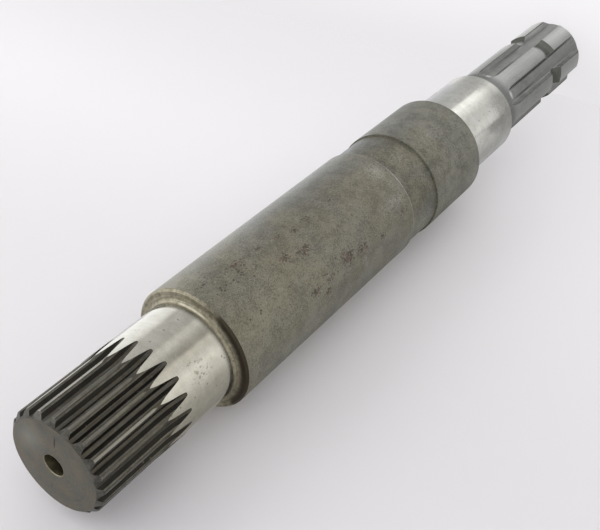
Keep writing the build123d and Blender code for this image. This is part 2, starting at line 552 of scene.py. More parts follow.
@dataclass
class DriveSlots:
    """The slots that leave the straight-sided drive teeth of the stub, in millimetres."""

    teeth: int = 6
    tooth_width: float = 8.7
    root_radius: float = 14.7
    edge_break: float = 0.35
    full_depth_to: float = 78.7
    cutter_radius: float = 8.0

    def flank_point(self, radius: float) -> tuple[float, float]:
        """Finds where a tooth's flank crosses a radius, in the slot's own axes.

        Args:
            radius: Distance from the shaft's axis.

        Returns:
            The point's height along the slot's middle line and its offset from it.
        """
        half_pitch = math.pi / self.teeth
        half_width = self.tooth_width / 2
        along = math.sqrt(radius**2 - half_width**2)
        height = along * math.cos(half_pitch) + half_width * math.sin(half_pitch)
        offset = along * math.sin(half_pitch) - half_width * math.cos(half_pitch)
        return height, offset

    def cutter(self, blank: Blank) -> Mesh:
        """Makes the cutter of one slot, with its middle on +X.

        Args:
            blank: The turned blank that it cuts.

        Returns:
            The cutter, as a closed solid.
        """
        foot = self.flank_point(self.root_radius)
        rim = self.flank_point(blank.stub_radius - self.edge_break)
        lip = (rim[0] + self.edge_break * 0.9, rim[1] + self.edge_break * 1.25)
        half = math.atan2(foot[1], foot[0])
        floor = (self.root_radius * math.cos(half * 0.5), self.root_radius * math.sin(half * 0.5))
        return Cutter(
            half_section=[floor, foot, rim, lip, (blank.stub_radius + 2.5, lip[1] + 1.6)],
            full_depth_at=self.full_depth_to,
            reach=-(self.full_depth_to + 2.0),
            radius=self.cutter_radius,
            swing=62.0,
            floor_round=0.6,
            zones=[(0.0, Zone.STUB_SLOT), (rim[0] + 0.05, Zone.TOOTH_EDGE)],
        ).build()

    def ring(self, blank: Blank) -> Mesh:
        """Mills the slotted part of the stub.

        Args:
            blank: The turned blank that it is cut from.

        Returns:
            The part's surface.
        """
        mesh = bmesh.new()
        blank.stub_end(mesh)
        return milled_ring(mesh, blank, self.cutter(blank), self.teeth, 0.0, blank.slotted_to)


@dataclass
class FineSpaces:
    """The form-milled spaces of the fine spline, in millimetres."""

    teeth: int = 20
    root_radius: float = 17.95
    first_angle: float = -4.5
    cutter_radius: float = 48.8

    def cutter(self, blank: Blank) -> Mesh:
        """Makes the cutter of one space, with its middle on +X.

        Args:
            blank: The turned blank that it cuts.

        Returns:
            The cutter, as a closed solid.
        """
        root = self.root_radius
        return Cutter(
            half_section=[
                (root, 0.3),
                (root, 0.62),
                (root + 1.25, 1.76),
                (root + 1.55, 2.2),
                (root + 1.68, 2.65),
                (root + 1.72, 3.3),
                (root + 4.0, 3.3),
            ],
            full_depth_at=blank.spline_foot,
            reach=31.0,
            radius=self.cutter_radius,
            swing=24.0,
            floor_round=0.25,
            zones=[
                (0.0, Zone.FINE_SPACE),
                (root + 0.12, Zone.FINE_WALL),
                (root + 1.3, Zone.TOOTH_EDGE),
                (root + 1.6, Zone.FINE_SPACE),
            ],
        ).build()

    def ring(self, blank: Blank) -> Mesh:
        """Mills the toothed part of the shaft.

        Args:
            blank: The turned blank that it is cut from.

        Returns:
            The part's surface.
        """
        mesh = bmesh.new()
        corners = blank.toothed_end()
        round_chain(mesh, corners, wire(mesh, corners))
        cutter = self.cutter(blank)
        ring = milled_ring(mesh, blank, cutter, self.teeth, blank.length, blank.toothed_from)
        return turned(ring, self.first_angle - 180.0 / self.teeth)


def as_object(name: str, meshes: Sequence[Mesh], slots: Sequence[Material] = ()) -> bpy.types.Object:
    """Joins bmeshes into one object of the scene.

    Args:
        name: Name of the object and its mesh.
        meshes: The bmeshes, which are freed.
        slots: Materials for its slots, in order.

    Returns:
        The new object.
    """
    data = bpy.data.meshes.new(name)
    joined = bmesh.new()
    for mesh in meshes:
        scratch = bpy.data.meshes.new("scratch")
        mesh.to_mesh(scratch)
        mesh.free()
        joined.from_mesh(scratch)
        bpy.data.meshes.remove(scratch)
    joined.to_mesh(data)
    joined.free()
    for slot in slots:
        data.materials.append(slot)
    made = bpy.data.objects.new(name, data)
    bpy.context.scene.collection.objects.link(made)
    return made


@dataclass
class Shaft:
    """The whole shaft: blank, drive slots and fine spaces, as one piece."""

    blank: Blank = field(default_factory=Blank)
    drive: DriveSlots = field(default_factory=DriveSlots)
    fine: FineSpaces = field(default_factory=FineSpaces)

    def turned_part(self, corners: Sequence[Corner]) -> Mesh:
        """Spins a part of the outline and marks its zones.

        Args:
            corners: The part's outline.

        Returns:
            Its surface.
        """
        return mark_zones(spun(corners), self.blank.zone_of)

    def build(self, slots: Sequence[Material]) -> bpy.types.Object:
        """Builds the finished piece.

        Args:
            slots: One material for each zone, in the zones' order.

        Returns:
            The shaft, in metres, riding on the frame's body.
        """
        parts = [
            self.turned_part(self.blank.end_disc()),
            self.fine.ring(self.blank),
            self.turned_part(self.blank.barrel()),
            self.drive.ring(self.blank),
            self.turned_part(self.blank.foot_disc()),
        ]
        work = as_object("turned_shaft", parts, slots)
        self.finish_edges(work.data)
        work.data.transform(Matrix.Scale(MM, 4))
        work.data.update()
        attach(work, "root")
        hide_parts(CAD_NODE)
        log.info("shaft: %d faces", len(work.data.polygons))
        return work

    def finish_edges(self, data: bpy.types.Mesh) -> None:
        """Joins the parts, shades turned surfaces smooth and keeps real edges crisp.

        Args:
            data: The mesh of all the parts.
        """
        mesh = bmesh.new()
        mesh.from_mesh(data)
        bmesh.ops.remove_doubles(mesh, verts=mesh.verts, dist=1e-3)
        bmesh.ops.recalc_face_normals(mesh, faces=mesh.faces)
        for face in mesh.faces:
            face.smooth = True
        for edge in mesh.edges:
            faces = edge.link_faces
            crisp = len(faces) != 2 or faces[0].material_index != faces[1].material_index
            edge.smooth = not (crisp or edge.calc_face_angle(0.0) > math.radians(14.0))
        open_edges = sum(1 for edge in mesh.edges if len(edge.link_faces) != 2)
        log.info("shaft: %d open edges, volume %.0f mm3", open_edges, mesh.calc_volume(signed=True))
        mesh.to_mesh(data)
        mesh.free()


Colour = tuple[float, float, float]
WHITE: Colour = (255, 255, 255)
PIT: Colour = (52, 48, 40)
# Colour of the skin's painted shade in corners and along a ring.
SKIN_SHADE_COLOUR: Colour = (60, 58, 49)


def rgba(colour: Colour) -> tuple[float, float, float, float]:
    """Gives a screen colour as the linear one that shaders use.

    Args:
        colour: Red, green and blue, 0 to 255.

    Returns:
        Red, green, blue and an alpha of 1.
    """

    def linear(part: float) -> float:
        """Undoes the screen's gamma for one channel."""
        part /= 255.0
        return part / 12.92 if part <= 0.04045 else ((part + 0.055) / 1.055) ** 2.4

    return (linear(colour[0]), linear(colour[1]), linear(colour[2]), 1.0)


@dataclass(frozen=True)
class Spot:
    """A local stain, scuff or mark, painted highlight or painted shade, egg-shaped and fading to its rim.

    Heights and half sizes are in millimetres and the azimuth is in degrees.
    """

    height: float
    azimuth: float
    along: float
    across: float
    radius: float
    deep: float = 8.0
    strength: float = 1.0


def spots(radius: float, *marks: Sequence[float], deep: float = 8.0) -> tuple[Spot, ...]:
    """Lists spots that lie at one radius.

    Args:
        radius: Their distance from the axis.
        *marks: The height, azimuth, half length, half width and, unless it is 1, strength of each.
        deep: Their half depth.

    Returns:
        The spots.
    """
    return tuple(Spot(*mark[:4], radius, deep, *mark[4:]) for mark in marks)


class Sheet:
    """Wires nodes in one node tree with short calls."""

    def __init__(self, tree: bpy.types.NodeTree) -> None:
        """Starts on a node tree."""
        self.tree = tree

    def add(self, kind: str, inputs: dict | None = None, **settings: object) -> bpy.types.Node:
        """Adds a node.

        Args:
            kind: The node's type name.
            inputs: Values or output sockets for its inputs, by name or number.
            **settings: Properties to set on it.

        Returns:
            The new node.
        """
        node = self.tree.nodes.new(kind)
        for name, value in settings.items():
            setattr(node, name, value)
        for key, value in (inputs or {}).items():
            if isinstance(value, Socket):
                self.tree.links.new(value, node.inputs[key])
            else:
                node.inputs[key].default_value = value
        return node

    def math(self, operation: str, first: object, second: object = 0.0, clamp: bool = False) -> Socket:
        """Adds a Math node and returns its output."""
        node = self.add("ShaderNodeMath", {0: first, 1: second}, operation=operation, use_clamp=clamp)
        return node.outputs[0]

    def times(self, first: object, second: object) -> Socket:
        """Returns a product."""
        return self.math("MULTIPLY", first, second)

    def plus(self, first: object, second: object) -> Socket:
        """Returns a sum."""
        return self.math("ADD", first, second)

    def minus(self, first: object, second: object) -> Socket:
        """Returns a difference."""
        return self.math("SUBTRACT", first, second)

    def most(self, first: object, second: object) -> Socket:
        """Returns the larger of two values."""
        return self.math("MAXIMUM", first, second)

    def distance(self, x: Socket, y: Socket) -> Socket:
        """Returns the distance from the shaft's axis."""
        return self.math("SQRT", self.plus(self.times(x, x), self.times(y, y)))

    def lean(self, total: object, value: object, weight: float) -> Socket:
        """Adds a value that swings about a half, times a weight, to a total."""
        swing = {0: self.minus(value, 0.5), 1: weight, 2: total}
        return self.add("ShaderNodeMath", swing, operation="MULTIPLY_ADD").outputs[0]

    def ramp(
        self, value: object, low: object, high: object, out_low: float = 0.0, out_high: float = 1.0
    ) -> Socket:
        """Maps one range smoothly onto another and returns the result."""
        ends = {0: value, 1: low, 2: high, 3: out_low, 4: out_high}
        return self.add("ShaderNodeMapRange", ends, interpolation_type="SMOOTHSTEP").outputs[0]

    def blend(self, factor: object, first: object, second: object, mode: str = "MIX") -> Socket:
        """Mixes two colours.

        Args:
            factor: How much of the second there is.
            first: The first colour.
            second: The second colour.
            mode: How they are mixed.

        Returns:
            The mixed colour.
        """
        node = self.add("ShaderNodeMix", data_type="RGBA", blend_type=mode)
        for index, value in ((0, factor), (6, first), (7, second)):
            if isinstance(value, Socket):
                self.tree.links.new(value, node.inputs[index])
            else:
                node.inputs[index].default_value = value
        return node.outputs[2]

    def fractal(self, vector: Socket, scale: object, detail: float, roughness: float = 0.5) -> Socket:
        """Adds fractal noise of a scale and returns its value."""
        numbers = {"Vector": vector, "Scale": scale, "Detail": detail, "Roughness": roughness}
        return self.add("ShaderNodeTexNoise", numbers).outputs["Fac"]

    def noise(self, vector: Socket, size: float, detail: float = 2.0, roughness: float = 0.55) -> Socket:
        """Adds fractal noise with blotches of a size in millimetres and returns its value."""
        return self.fractal(vector, 1.0 / (size * MM), detail, roughness)

    def spot(self, where: Socket, spot: Spot) -> Socket:
        """Marks one spot.

        Args:
            where: The Object coordinates.
            spot: The spot.

        Returns:
            Its strength in its middle, fading to 0 at its rim.
        """
        azimuth = math.radians(spot.azimuth)
        place = Vector((spot.radius * math.cos(azimuth), spot.radius * math.sin(azimuth), spot.height)) * MM
        turn = Euler((0.0, 0.0, azimuth))
        sizes = Vector((spot.deep, spot.across, spot.along)) * MM
        egg = {"Vector": where, "Location": place, "Rotation": turn, "Scale": sizes}
        centred = self.add("ShaderNodeMapping", egg, vector_type="TEXTURE")
        ball = self.add("ShaderNodeTexGradient", {"Vector": centred.outputs[0]}, gradient_type="SPHERICAL")
        return self.times(ball.outputs["Fac"], spot.strength)

    def spots(self, where: Socket, spots: Sequence[Spot]) -> Socket:
        """Marks several spots.

        Args:
            where: The Object coordinates.
            spots: The spots, at least one.

        Returns:
            The strongest of them at each place.
        """
        total = self.spot(where, spots[0])
        for spot in spots[1:]:
            total = self.most(total, self.spot(where, spot))
        return total

    def ring(self, where: Socket, height: float, half_width: float) -> Socket:
        """Marks a ring round the shaft.

        Args:
            where: The Object coordinates.
            height: The ring's height, in millimetres.
            half_width: How far from there it has faded out, in millimetres.

        Returns:
            1 on the height, fading to 0.
        """
        z = self.add("ShaderNodeSeparateXYZ", {0: where}).outputs[2]
        away = self.math("ABSOLUTE", self.minus(z, height * MM))
        return self.ramp(away, half_width * MM, 0.0)

    def painted_corner_shade(self, reach: float, low: float, high: float) -> Socket:
        """Marks corners for painted shade, by how closed in each place is.

        Args:
            reach: How far off a neighbouring surface still counts, in millimetres.
            low: The openness at which the mark is full.
            high: The openness at which it has faded out.

        Returns:
            1 deep in corners and 0 in the open.
        """
        near = {"Distance": reach * MM}
        openness = self.add("ShaderNodeAmbientOcclusion", near, samples=8, only_local=True)
        return self.ramp(openness.outputs["AO"], high, low)


class Effect(Enum):
    """Shared surface effects, each built once as a node group."""

    MOTTLE = "mottle"
    TOOL_LINES = "tool_lines"
    SPECKLE = "speckle"


class Effects:
    """Builds the shared node groups and hands them out."""

    def __init__(self) -> None:
        """Builds every group."""
        self.groups = {
            Effect.MOTTLE: self.mottle(),
            Effect.TOOL_LINES: self.tool_lines(),
            Effect.SPECKLE: self.speckle(),
        }

    def start(
        self, effect: Effect, values: dict[str, float]
    ) -> tuple[bpy.types.NodeTree, Sheet, bpy.types.Node, bpy.types.Node]:
        """Starts a node group with a vector, some values and one output value.

        Args:
            effect: Which effect it is.
            values: Names of its number inputs and their usual values.

        Returns:
            The group, a sheet on it, its input node and its output node.
        """
        group = bpy.data.node_groups.new(effect.value, "ShaderNodeTree")
        group.interface.new_socket("Vector", in_out="INPUT", socket_type="NodeSocketVector")
        for name, usual in values.items():
            socket = group.interface.new_socket(name, in_out="INPUT", socket_type="NodeSocketFloat")
            socket.default_value = usual
        group.interface.new_socket("Value", in_out="OUTPUT", socket_type="NodeSocketFloat")
        sheet = Sheet(group)
        return group, sheet, sheet.add("NodeGroupInput"), sheet.add("NodeGroupOutput")

    def mottle(self) -> bpy.types.NodeTree:
        """Returns cloudy blotches of a size in millimetres with a finer grain, from 0 to 1."""
        group, sheet, inside, out = self.start(Effect.MOTTLE, {"Size": 6.0, "Grain": 0.5, "Contrast": 1.0})
        where = inside.outputs["Vector"]
        scale = sheet.math("DIVIDE", 1.0 / MM, inside.outputs["Size"])
        cloud = sheet.fractal(where, scale, 3.0, 0.6)
        grain = sheet.fractal(where, sheet.times(scale, 6.0), 4.0, 0.7)
        total = sheet.plus(cloud, sheet.times(sheet.minus(grain, 0.5), inside.outputs["Grain"]))
        reach = sheet.math("DIVIDE", 0.25, inside.outputs["Contrast"])
        value = sheet.ramp(total, sheet.minus(0.5, reach), sheet.plus(0.5, reach))
        group.links.new(value, out.inputs["Value"])
        return group

    def tool_lines(self) -> bpy.types.NodeTree:
        """Returns the fine lines that a tool leaves, from 0 to 1, with so many to the millimetre.

        Rings go round the shaft and follow each other along it, circles lie in a flat face, and
        streaks run lengthways.
        """
        usual = {"Rings": 2.0, "Circles": 0.0, "Streaks": 0.03}
        group, sheet, inside, out = self.start(Effect.TOOL_LINES, usual)
        x, y, z = sheet.add("ShaderNodeSeparateXYZ", {0: inside.outputs["Vector"]}).outputs
        rings = sheet.times(z, inside.outputs["Rings"])
        circles = sheet.times(sheet.distance(x, y), inside.outputs["Circles"])
        across = [sheet.times(side, inside.outputs["Streaks"]) for side in (x, y)]
        along = sheet.add("ShaderNodeCombineXYZ", {0: across[0], 1: across[1], 2: sheet.plus(rings, circles)})
        lines = sheet.fractal(along.outputs[0], 1.0 / MM, 3.0, 0.65)
        group.links.new(sheet.ramp(lines, 0.3, 0.7), out.inputs["Value"])
        return group

    def speckle(self) -> bpy.types.NodeTree:
        """Returns scattered small ragged spots, 1 inside a spot and 0 elsewhere."""
        group, sheet, inside, out = self.start(Effect.SPECKLE, {"Spacing": 4.0, "Share": 0.3, "Spot": 0.25})
        where = inside.outputs["Vector"]
        scale = sheet.math("DIVIDE", 1.0 / MM, inside.outputs["Spacing"])
        cells = sheet.add("ShaderNodeTexVoronoi", {"Vector": where, "Scale": scale, "Randomness": 1.0})
        wobble = sheet.fractal(where, sheet.times(scale, 3.0), 2.0)
        reach = sheet.lean(cells.outputs["Distance"], wobble, 0.35)
        dot = sheet.ramp(reach, inside.outputs["Spot"], sheet.times(inside.outputs["Spot"], 0.45))
        pick = sheet.add("ShaderNodeSeparateColor", {0: cells.outputs["Color"]})
        chosen = sheet.math("LESS_THAN", pick.outputs[0], inside.outputs["Share"])
        group.links.new(sheet.times(dot, chosen), out.inputs["Value"])
        return group

    def use(self, sheet: Sheet, effect: Effect, vector: Socket, **values: float) -> Socket:
        """Places an effect in a material.

        Args:
            sheet: The material's sheet.
            effect: Which effect to place.
            vector: The Object coordinates that it follows.
            **values: Its numbers, by input name in lower case.

        Returns:
            The effect's value.
        """
        node = sheet.add("ShaderNodeGroup", node_tree=self.groups[effect])
        sheet.tree.links.new(vector, node.inputs["Vector"])
        for name, value in values.items():
            node.inputs[name.capitalize()].default_value = value
        return node.outputs["Value"]


def start_material(name: str) -> tuple[Material, Sheet, bpy.types.Node, Socket]:
    """Starts a material with a Principled shader.

    Args:
        name: The material's name.

    Returns:
        The material, a sheet on it, its shader and its Object coordinates.
    """
    material = bpy.data.materials.new(name)
    material.use_nodes = True
    sheet = Sheet(material.node_tree)
    shader = material.node_tree.nodes["Principled BSDF"]
    where = sheet.add("ShaderNodeTexCoord").outputs["Object"]
    return material, sheet, shader, where


BODY_RUST = spots(
    Blank.body_radius,
    (301.5, 25.8, 5.2, 1.5, 0.8),
    (284.5, 20.8, 7.5, 3.0, 0.75),
    (272.7, 20.5, 2.5, 1.6, 0.8),
    (268.4, -2.0, 3.9, 3.0, 1.25),
    (259.0, -7.5, 6.5, 3.0, 0.95),
    (262.4, 17.2, 3.0, 1.3, 0.85),
    (255.0, 12.8, 2.3, 1.9, 0.8),
    (246.4, 13.8, 4.8, 2.3, 0.8),
    (230.0, 14.8, 3.5, 1.9, 0.65),
    (263.9, -42.5, 4.6, 2.7, 1.0),
    (258.2, -50.0, 3.2, 2.5, 1.0),
    (254.2, -42.2, 3.2, 2.7, 0.9),
    (241.6, -36.5, 6.0, 4.6, 1.05),
    (232.4, -41.0, 5.0, 3.5, 1.1),
    (217.6, -44.0, 3.5, 2.5, 0.85),
    (201.0, -38.8, 5.8, 2.0, 0.7),
    (281.0, 140.0, 6.3, 3.5),
    (236.0, 118.0, 4.6, 3.9),
    (249.0, -150.0, 6.9, 3.0, 1.1),
    (214.0, 178.0, 3.7, 3.9),
)
BODY_PITTING = spots(
    Blank.body_radius,
    (292.0, 9.0, 17.0, 8.0),
    (286.0, 19.0, 11.0, 5.0),
    (292.0, -24.0, 16.0, 4.0, 0.8),
    (247.0, -37.0, 20.0, 8.0, 0.7),
    (240.0, 148.0, 30.0, 12.0, 0.8),
    (280.0, -120.0, 20.0, 12.0, 0.8),
)
# Scuffs near the body's foot and along it; the strong light along the foot's edge near azimuth -10 degrees is
# a painted highlight.
BODY_SCUFFS_AND_HIGHLIGHTS = spots(
    Blank.body_radius,
    (200.5, 8.0, 7.0, 6.0, 1.2),
    (204.0, -26.0, 10.0, 3.6, 1.1),
    (199.0, -12.0, 5.0, 4.0, 0.5),
    (194.7, -10.0, 0.9, 8.0, 2.2),
    (255.0, -39.0, 1.6, 1.4),
    (240.5, -31.0, 2.0, 1.4, 0.7),
    (287.0, -4.0, 14.0, 7.0, 0.35),
)


@dataclass(frozen=True)
class SkinFinish:
    """Dull forged or rough-turned skin: mottled grey-olive with rust, pits and scuffs, painted highlights,
    and painted shade in its corners.
    """

    name: str
    dark: Colour = (94, 92, 82)
    light: Colour = (128, 126, 115)
    warm: Colour = (255, 252, 239)
    cool: Colour = (250, 250, 248)
    rust: Colour = (60, 51, 42)
    red_rust: Colour = (96, 77, 70)
    # Colour of scuffs and painted highlights.
    scuff_and_highlight: Colour = (160, 158, 147)
    metallic: float = 0.4
    roughness: float = 0.46
    lines: float = 0.06
    rust_share: float = 0.3
    pitting: float = 0.3
    rust_spots: tuple[Spot, ...] = ()
    pitting_spots: tuple[Spot, ...] = ()
    scuff_and_highlight_spots: tuple[Spot, ...] = ()
    warm_spots: tuple[Spot, ...] = ()
    # Height of a ring of painted shade; 0 for none.
    painted_shade_ring: float = 0.0
    # Height of a light band that is wear and painted highlight; 0 for none.
    wear_and_highlight_ring: float = 0.0

    def material(self, effects: Effects) -> Material:
        """Builds the finish.

        Args:
            effects: The shared node groups.

        Returns:
            The material.
        """
        material, sheet, shader, where = start_material(self.name)
        broad = effects.use(sheet, Effect.MOTTLE, where, size=14.0, grain=0.5)
        close = sheet.ramp(sheet.noise(where, 0.5, 4.0, 0.75), 0.34, 0.66)
        clouds = effects.use(sheet, Effect.MOTTLE, where, size=5.0, grain=0.7, contrast=1.0)
        rings = effects.use(sheet, Effect.TOOL_LINES, where, rings=1.1, streaks=0.04)
        tone = sheet.lean(sheet.lean(0.5, broad, 0.34), clouds, 0.5)
        tone = sheet.lean(sheet.lean(tone, close, 0.85), rings, self.lines * 1.5)
        skin = sheet.blend(sheet.ramp(tone, 0.0, 1.0), rgba(self.dark), rgba(self.light))
        hue = sheet.noise(where, 17.0, 3.0)
        if self.warm_spots:
            hue = sheet.plus(hue, sheet.spots(where, self.warm_spots))
        tint = sheet.blend(sheet.ramp(hue, 0.36, 0.64), rgba(self.cool), rgba(self.warm))
        skin = sheet.blend(1.0, skin, tint, "MULTIPLY")
        pits = self.pit_mask(effects, sheet, where)
        skin = sheet.blend(sheet.times(pits, 0.8), skin, rgba(PIT))
        rust, redness = self.rust_masks(sheet, where)
        skin = sheet.blend(rust, skin, sheet.blend(redness, rgba(self.rust), rgba(self.red_rust)))
        # Lighter: scuffs and painted highlights.
        bright = self.scuff_and_highlight_mask(effects, sheet, where, close)
        skin = sheet.blend(bright, skin, rgba(self.scuff_and_highlight))
        # Painted shade: darker in corners and along a ring.
        painted_shade = sheet.painted_corner_shade(3.0, 0.35, 0.85)
        if self.painted_shade_ring:
            ring = sheet.times(sheet.ring(where, self.painted_shade_ring, 1.2), 0.5)
            painted_shade = sheet.most(sheet.times(painted_shade, 0.6), ring)
        skin = sheet.blend(sheet.times(painted_shade, 0.6), skin, rgba(SKIN_SHADE_COLOUR))
        sheet.tree.links.new(skin, shader.inputs["Base Color"])
        rough = sheet.lean(sheet.lean(self.roughness, close, 0.14), rust, 0.2)
        sheet.tree.links.new(rough, shader.inputs["Roughness"])
        shader.inputs["Metallic"].default_value = self.metallic
        height = sheet.minus(sheet.lean(close, rings, 0.6), pits)
        bump = sheet.add("ShaderNodeBump", {"Strength": 0.35, "Distance": 0.00015, "Height": height})
        sheet.tree.links.new(bump.outputs[0], shader.inputs["Normal"])
        return material

    def pit_mask(self, effects: Effects, sheet: Sheet, where: Socket) -> Socket:
        """Finds where the skin is pitted: small dark pits, crowded together in some patches.

        Args:
            effects: The shared node groups.
            sheet: The node sheet.
            where: The Object coordinates.

        Returns:
            1 in a pit and 0 elsewhere.
        """
        pits = effects.use(sheet, Effect.SPECKLE, where, spacing=1.4, share=0.5, spot=0.4)
        crowd = sheet.ramp(sheet.noise(where, 12.0, 2.0), 0.5, 0.8, self.pitting, 0.8)
        if self.pitting_spots:
            crowd = sheet.most(crowd, sheet.ramp(sheet.spots(where, self.pitting_spots), 0.0, 0.5))
        return sheet.math("MULTIPLY", pits, crowd, clamp=True)

    def rust_masks(self, sheet: Sheet, where: Socket) -> tuple[Socket, Socket]:
        """Finds where rust has started, as ragged flecks inside patches.

        Args:
            sheet: The node sheet.
            where: The Object coordinates.

        Returns:
            How rusty each place is, and how red the rust.
        """
        patches = sheet.ramp(sheet.noise(where, 13.0, 2.0), 0.6, 0.8, 0.0, self.rust_share)
        if self.rust_spots:
            patches = sheet.most(patches, sheet.spots(where, self.rust_spots))
        reach = sheet.plus(sheet.noise(where, 0.9, 3.0, 0.65), sheet.times(patches, 0.2))
        flecks = sheet.times(sheet.ramp(reach, 0.59, 0.66), sheet.ramp(patches, 0.02, 0.22))
        return sheet.times(flecks, 0.8), sheet.ramp(sheet.noise(where, 2.2, 2.0), 0.42, 0.58)

    def scuff_and_highlight_mask(self, effects: Effects, sheet: Sheet, where: Socket, close: Socket) -> Socket:
        """Finds where the skin is lighter: rubbed flecks, scuffs, painted highlights, and a band that is wear
        and painted highlight.

        Args:
            effects: The shared node groups.
            sheet: The node sheet.
            where: The Object coordinates.
            close: The skin's fine grain, 0 to 1.

        Returns:
            How much lighter each place is.
        """
        flecks = effects.use(sheet, Effect.SPECKLE, where, spacing=1.9, share=0.3, spot=0.26)
        lightened = sheet.times(flecks, 0.3)
        if self.scuff_and_highlight_spots:
            scuff_and_highlights = sheet.times(sheet.spots(where, self.scuff_and_highlight_spots), sheet.ramp(close, 0.15, 0.9))
            lightened = sheet.most(lightened, sheet.times(scuff_and_highlights, 0.85))
        if self.wear_and_highlight_ring:
            patchy = sheet.ramp(sheet.noise(where, 9.0, 2.0), 0.36, 0.56)
            wear_and_highlight = sheet.times(sheet.ring(where, self.wear_and_highlight_ring, 0.9), patchy)
            lightened = sheet.most(lightened, sheet.times(wear_and_highlight, 0.55))
        return lightened


@dataclass(frozen=True)
class MachinedFinish:
    """Cut or ground steel: metal with tool lines, a few marks and stains, painted shade in its corners and
    rings, and painted highlights.
    """

    name: str
    dark: Colour = (150, 147, 140)
    light: Colour = (215, 213, 206)
    metallic: float = 1.0
    roughness: float = 0.28
    blotch: float = 4.0
    lines: float = 0.3
    rings: float = 2.0
    circles: float = 0.0
    streaks: float = 0.03
    bump: float = 0.1
    marks: float = 0.15
    mark: Colour = (100, 92, 82)
    # Colour of the painted shade in corners and in a ring, how strong it is in corners, and how far it
    # reaches.
    painted_shade: Colour = (30, 28, 22)
    painted_shade_depth: float = 0.8
    painted_shade_reach: float = 2.0
    # Colour of stains and, on some finishes, of painted shade, with the spots that place it.
    stain_and_shade: Colour = (52, 47, 38)
    stain_and_shade_spots: tuple[Spot, ...] = ()
    pit_spots: tuple[Spot, ...] = ()
    # Colour of painted highlights, and the spots that place them.
    bright: Colour = (240, 240, 236)
    highlight_spots: tuple[Spot, ...] = ()
    tint: Colour = WHITE
    stain_and_shade_edge: float = 0.5
    # Height and half width of a ring of painted shade; a half width of 0 leaves it out.
    shade_band_ring: tuple[float, float] = (0.0, 0.0)

    def material(self, effects: Effects) -> Material:
        """Builds the finish.

        Args:
            effects: The shared node groups.

        Returns:
            The material.
        """
        material, sheet, shader, where = start_material(self.name)
        cloud = effects.use(sheet, Effect.MOTTLE, where, size=self.blotch, grain=0.6)
        cut = {"rings": self.rings, "circles": self.circles, "streaks": self.streaks}
        tool = effects.use(sheet, Effect.TOOL_LINES, where, **cut)
        tone = sheet.lean(sheet.lean(0.5, cloud, 1.0 - self.lines), tool, self.lines)
        rough = sheet.lean(self.roughness, cloud, 0.08)
        metal = sheet.blend(tone, rgba(self.dark), rgba(self.light))
        if self.tint != WHITE:
            hue = sheet.ramp(sheet.noise(where, 5.0, 2.0), 0.42, 0.62)
            metal = sheet.blend(1.0, metal, sheet.blend(hue, rgba(WHITE), rgba(self.tint)), "MULTIPLY")
        # Stains, and on some finishes painted shade.
        if self.stain_and_shade_spots:
            darkened = sheet.ramp(sheet.spots(where, self.stain_and_shade_spots), 0.0, self.stain_and_shade_edge)
            metal = sheet.blend(darkened, metal, rgba(self.stain_and_shade))
        pits = effects.use(sheet, Effect.SPECKLE, where, spacing=2.6, share=self.marks, spot=0.19)
        if self.pit_spots:
            dense = sheet.ramp(sheet.noise(where, 1.2, 2.0), 0.54, 0.64)
            near = sheet.ramp(sheet.spots(where, self.pit_spots), 0.0, 0.6)
            pits = sheet.most(pits, sheet.times(dense, near))
        metal = sheet.blend(sheet.times(pits, 0.6), metal, rgba(self.mark))
        # Painted shade in corners.
        if self.painted_shade_depth > 0:
            corner = sheet.painted_corner_shade(self.painted_shade_reach, 0.3, 0.8)
            metal = sheet.blend(sheet.times(corner, self.painted_shade_depth), metal, rgba(self.painted_shade))
        # A ring of painted shade, a little rougher too.
        if self.shade_band_ring[1] > 0:
            shade_band = sheet.times(sheet.ring(where, *self.shade_band_ring), 0.45)
            metal = sheet.blend(shade_band, metal, rgba(self.painted_shade))
            rough = sheet.plus(rough, sheet.times(shade_band, 0.5))
        # Painted highlights: lighter and less metallic.
        if self.highlight_spots:
            lightened = sheet.ramp(sheet.spots(where, self.highlight_spots), 0.05, 0.6)
            metal = sheet.blend(lightened, metal, rgba(self.bright))
            highlight_metallic = sheet.minus(self.metallic, sheet.times(lightened, self.metallic * 0.8))
            sheet.tree.links.new(highlight_metallic, shader.inputs["Metallic"])
        sheet.tree.links.new(metal, shader.inputs["Base Color"])
        sheet.tree.links.new(rough, shader.inputs["Roughness"])
        shader.inputs["Metallic"].default_value = self.metallic
        height = sheet.minus(tool, pits)
        bump = sheet.add("ShaderNodeBump", {"Strength": self.bump, "Distance": 0.0001, "Height": height})
        sheet.tree.links.new(bump.outputs[0], shader.inputs["Normal"])
        return material


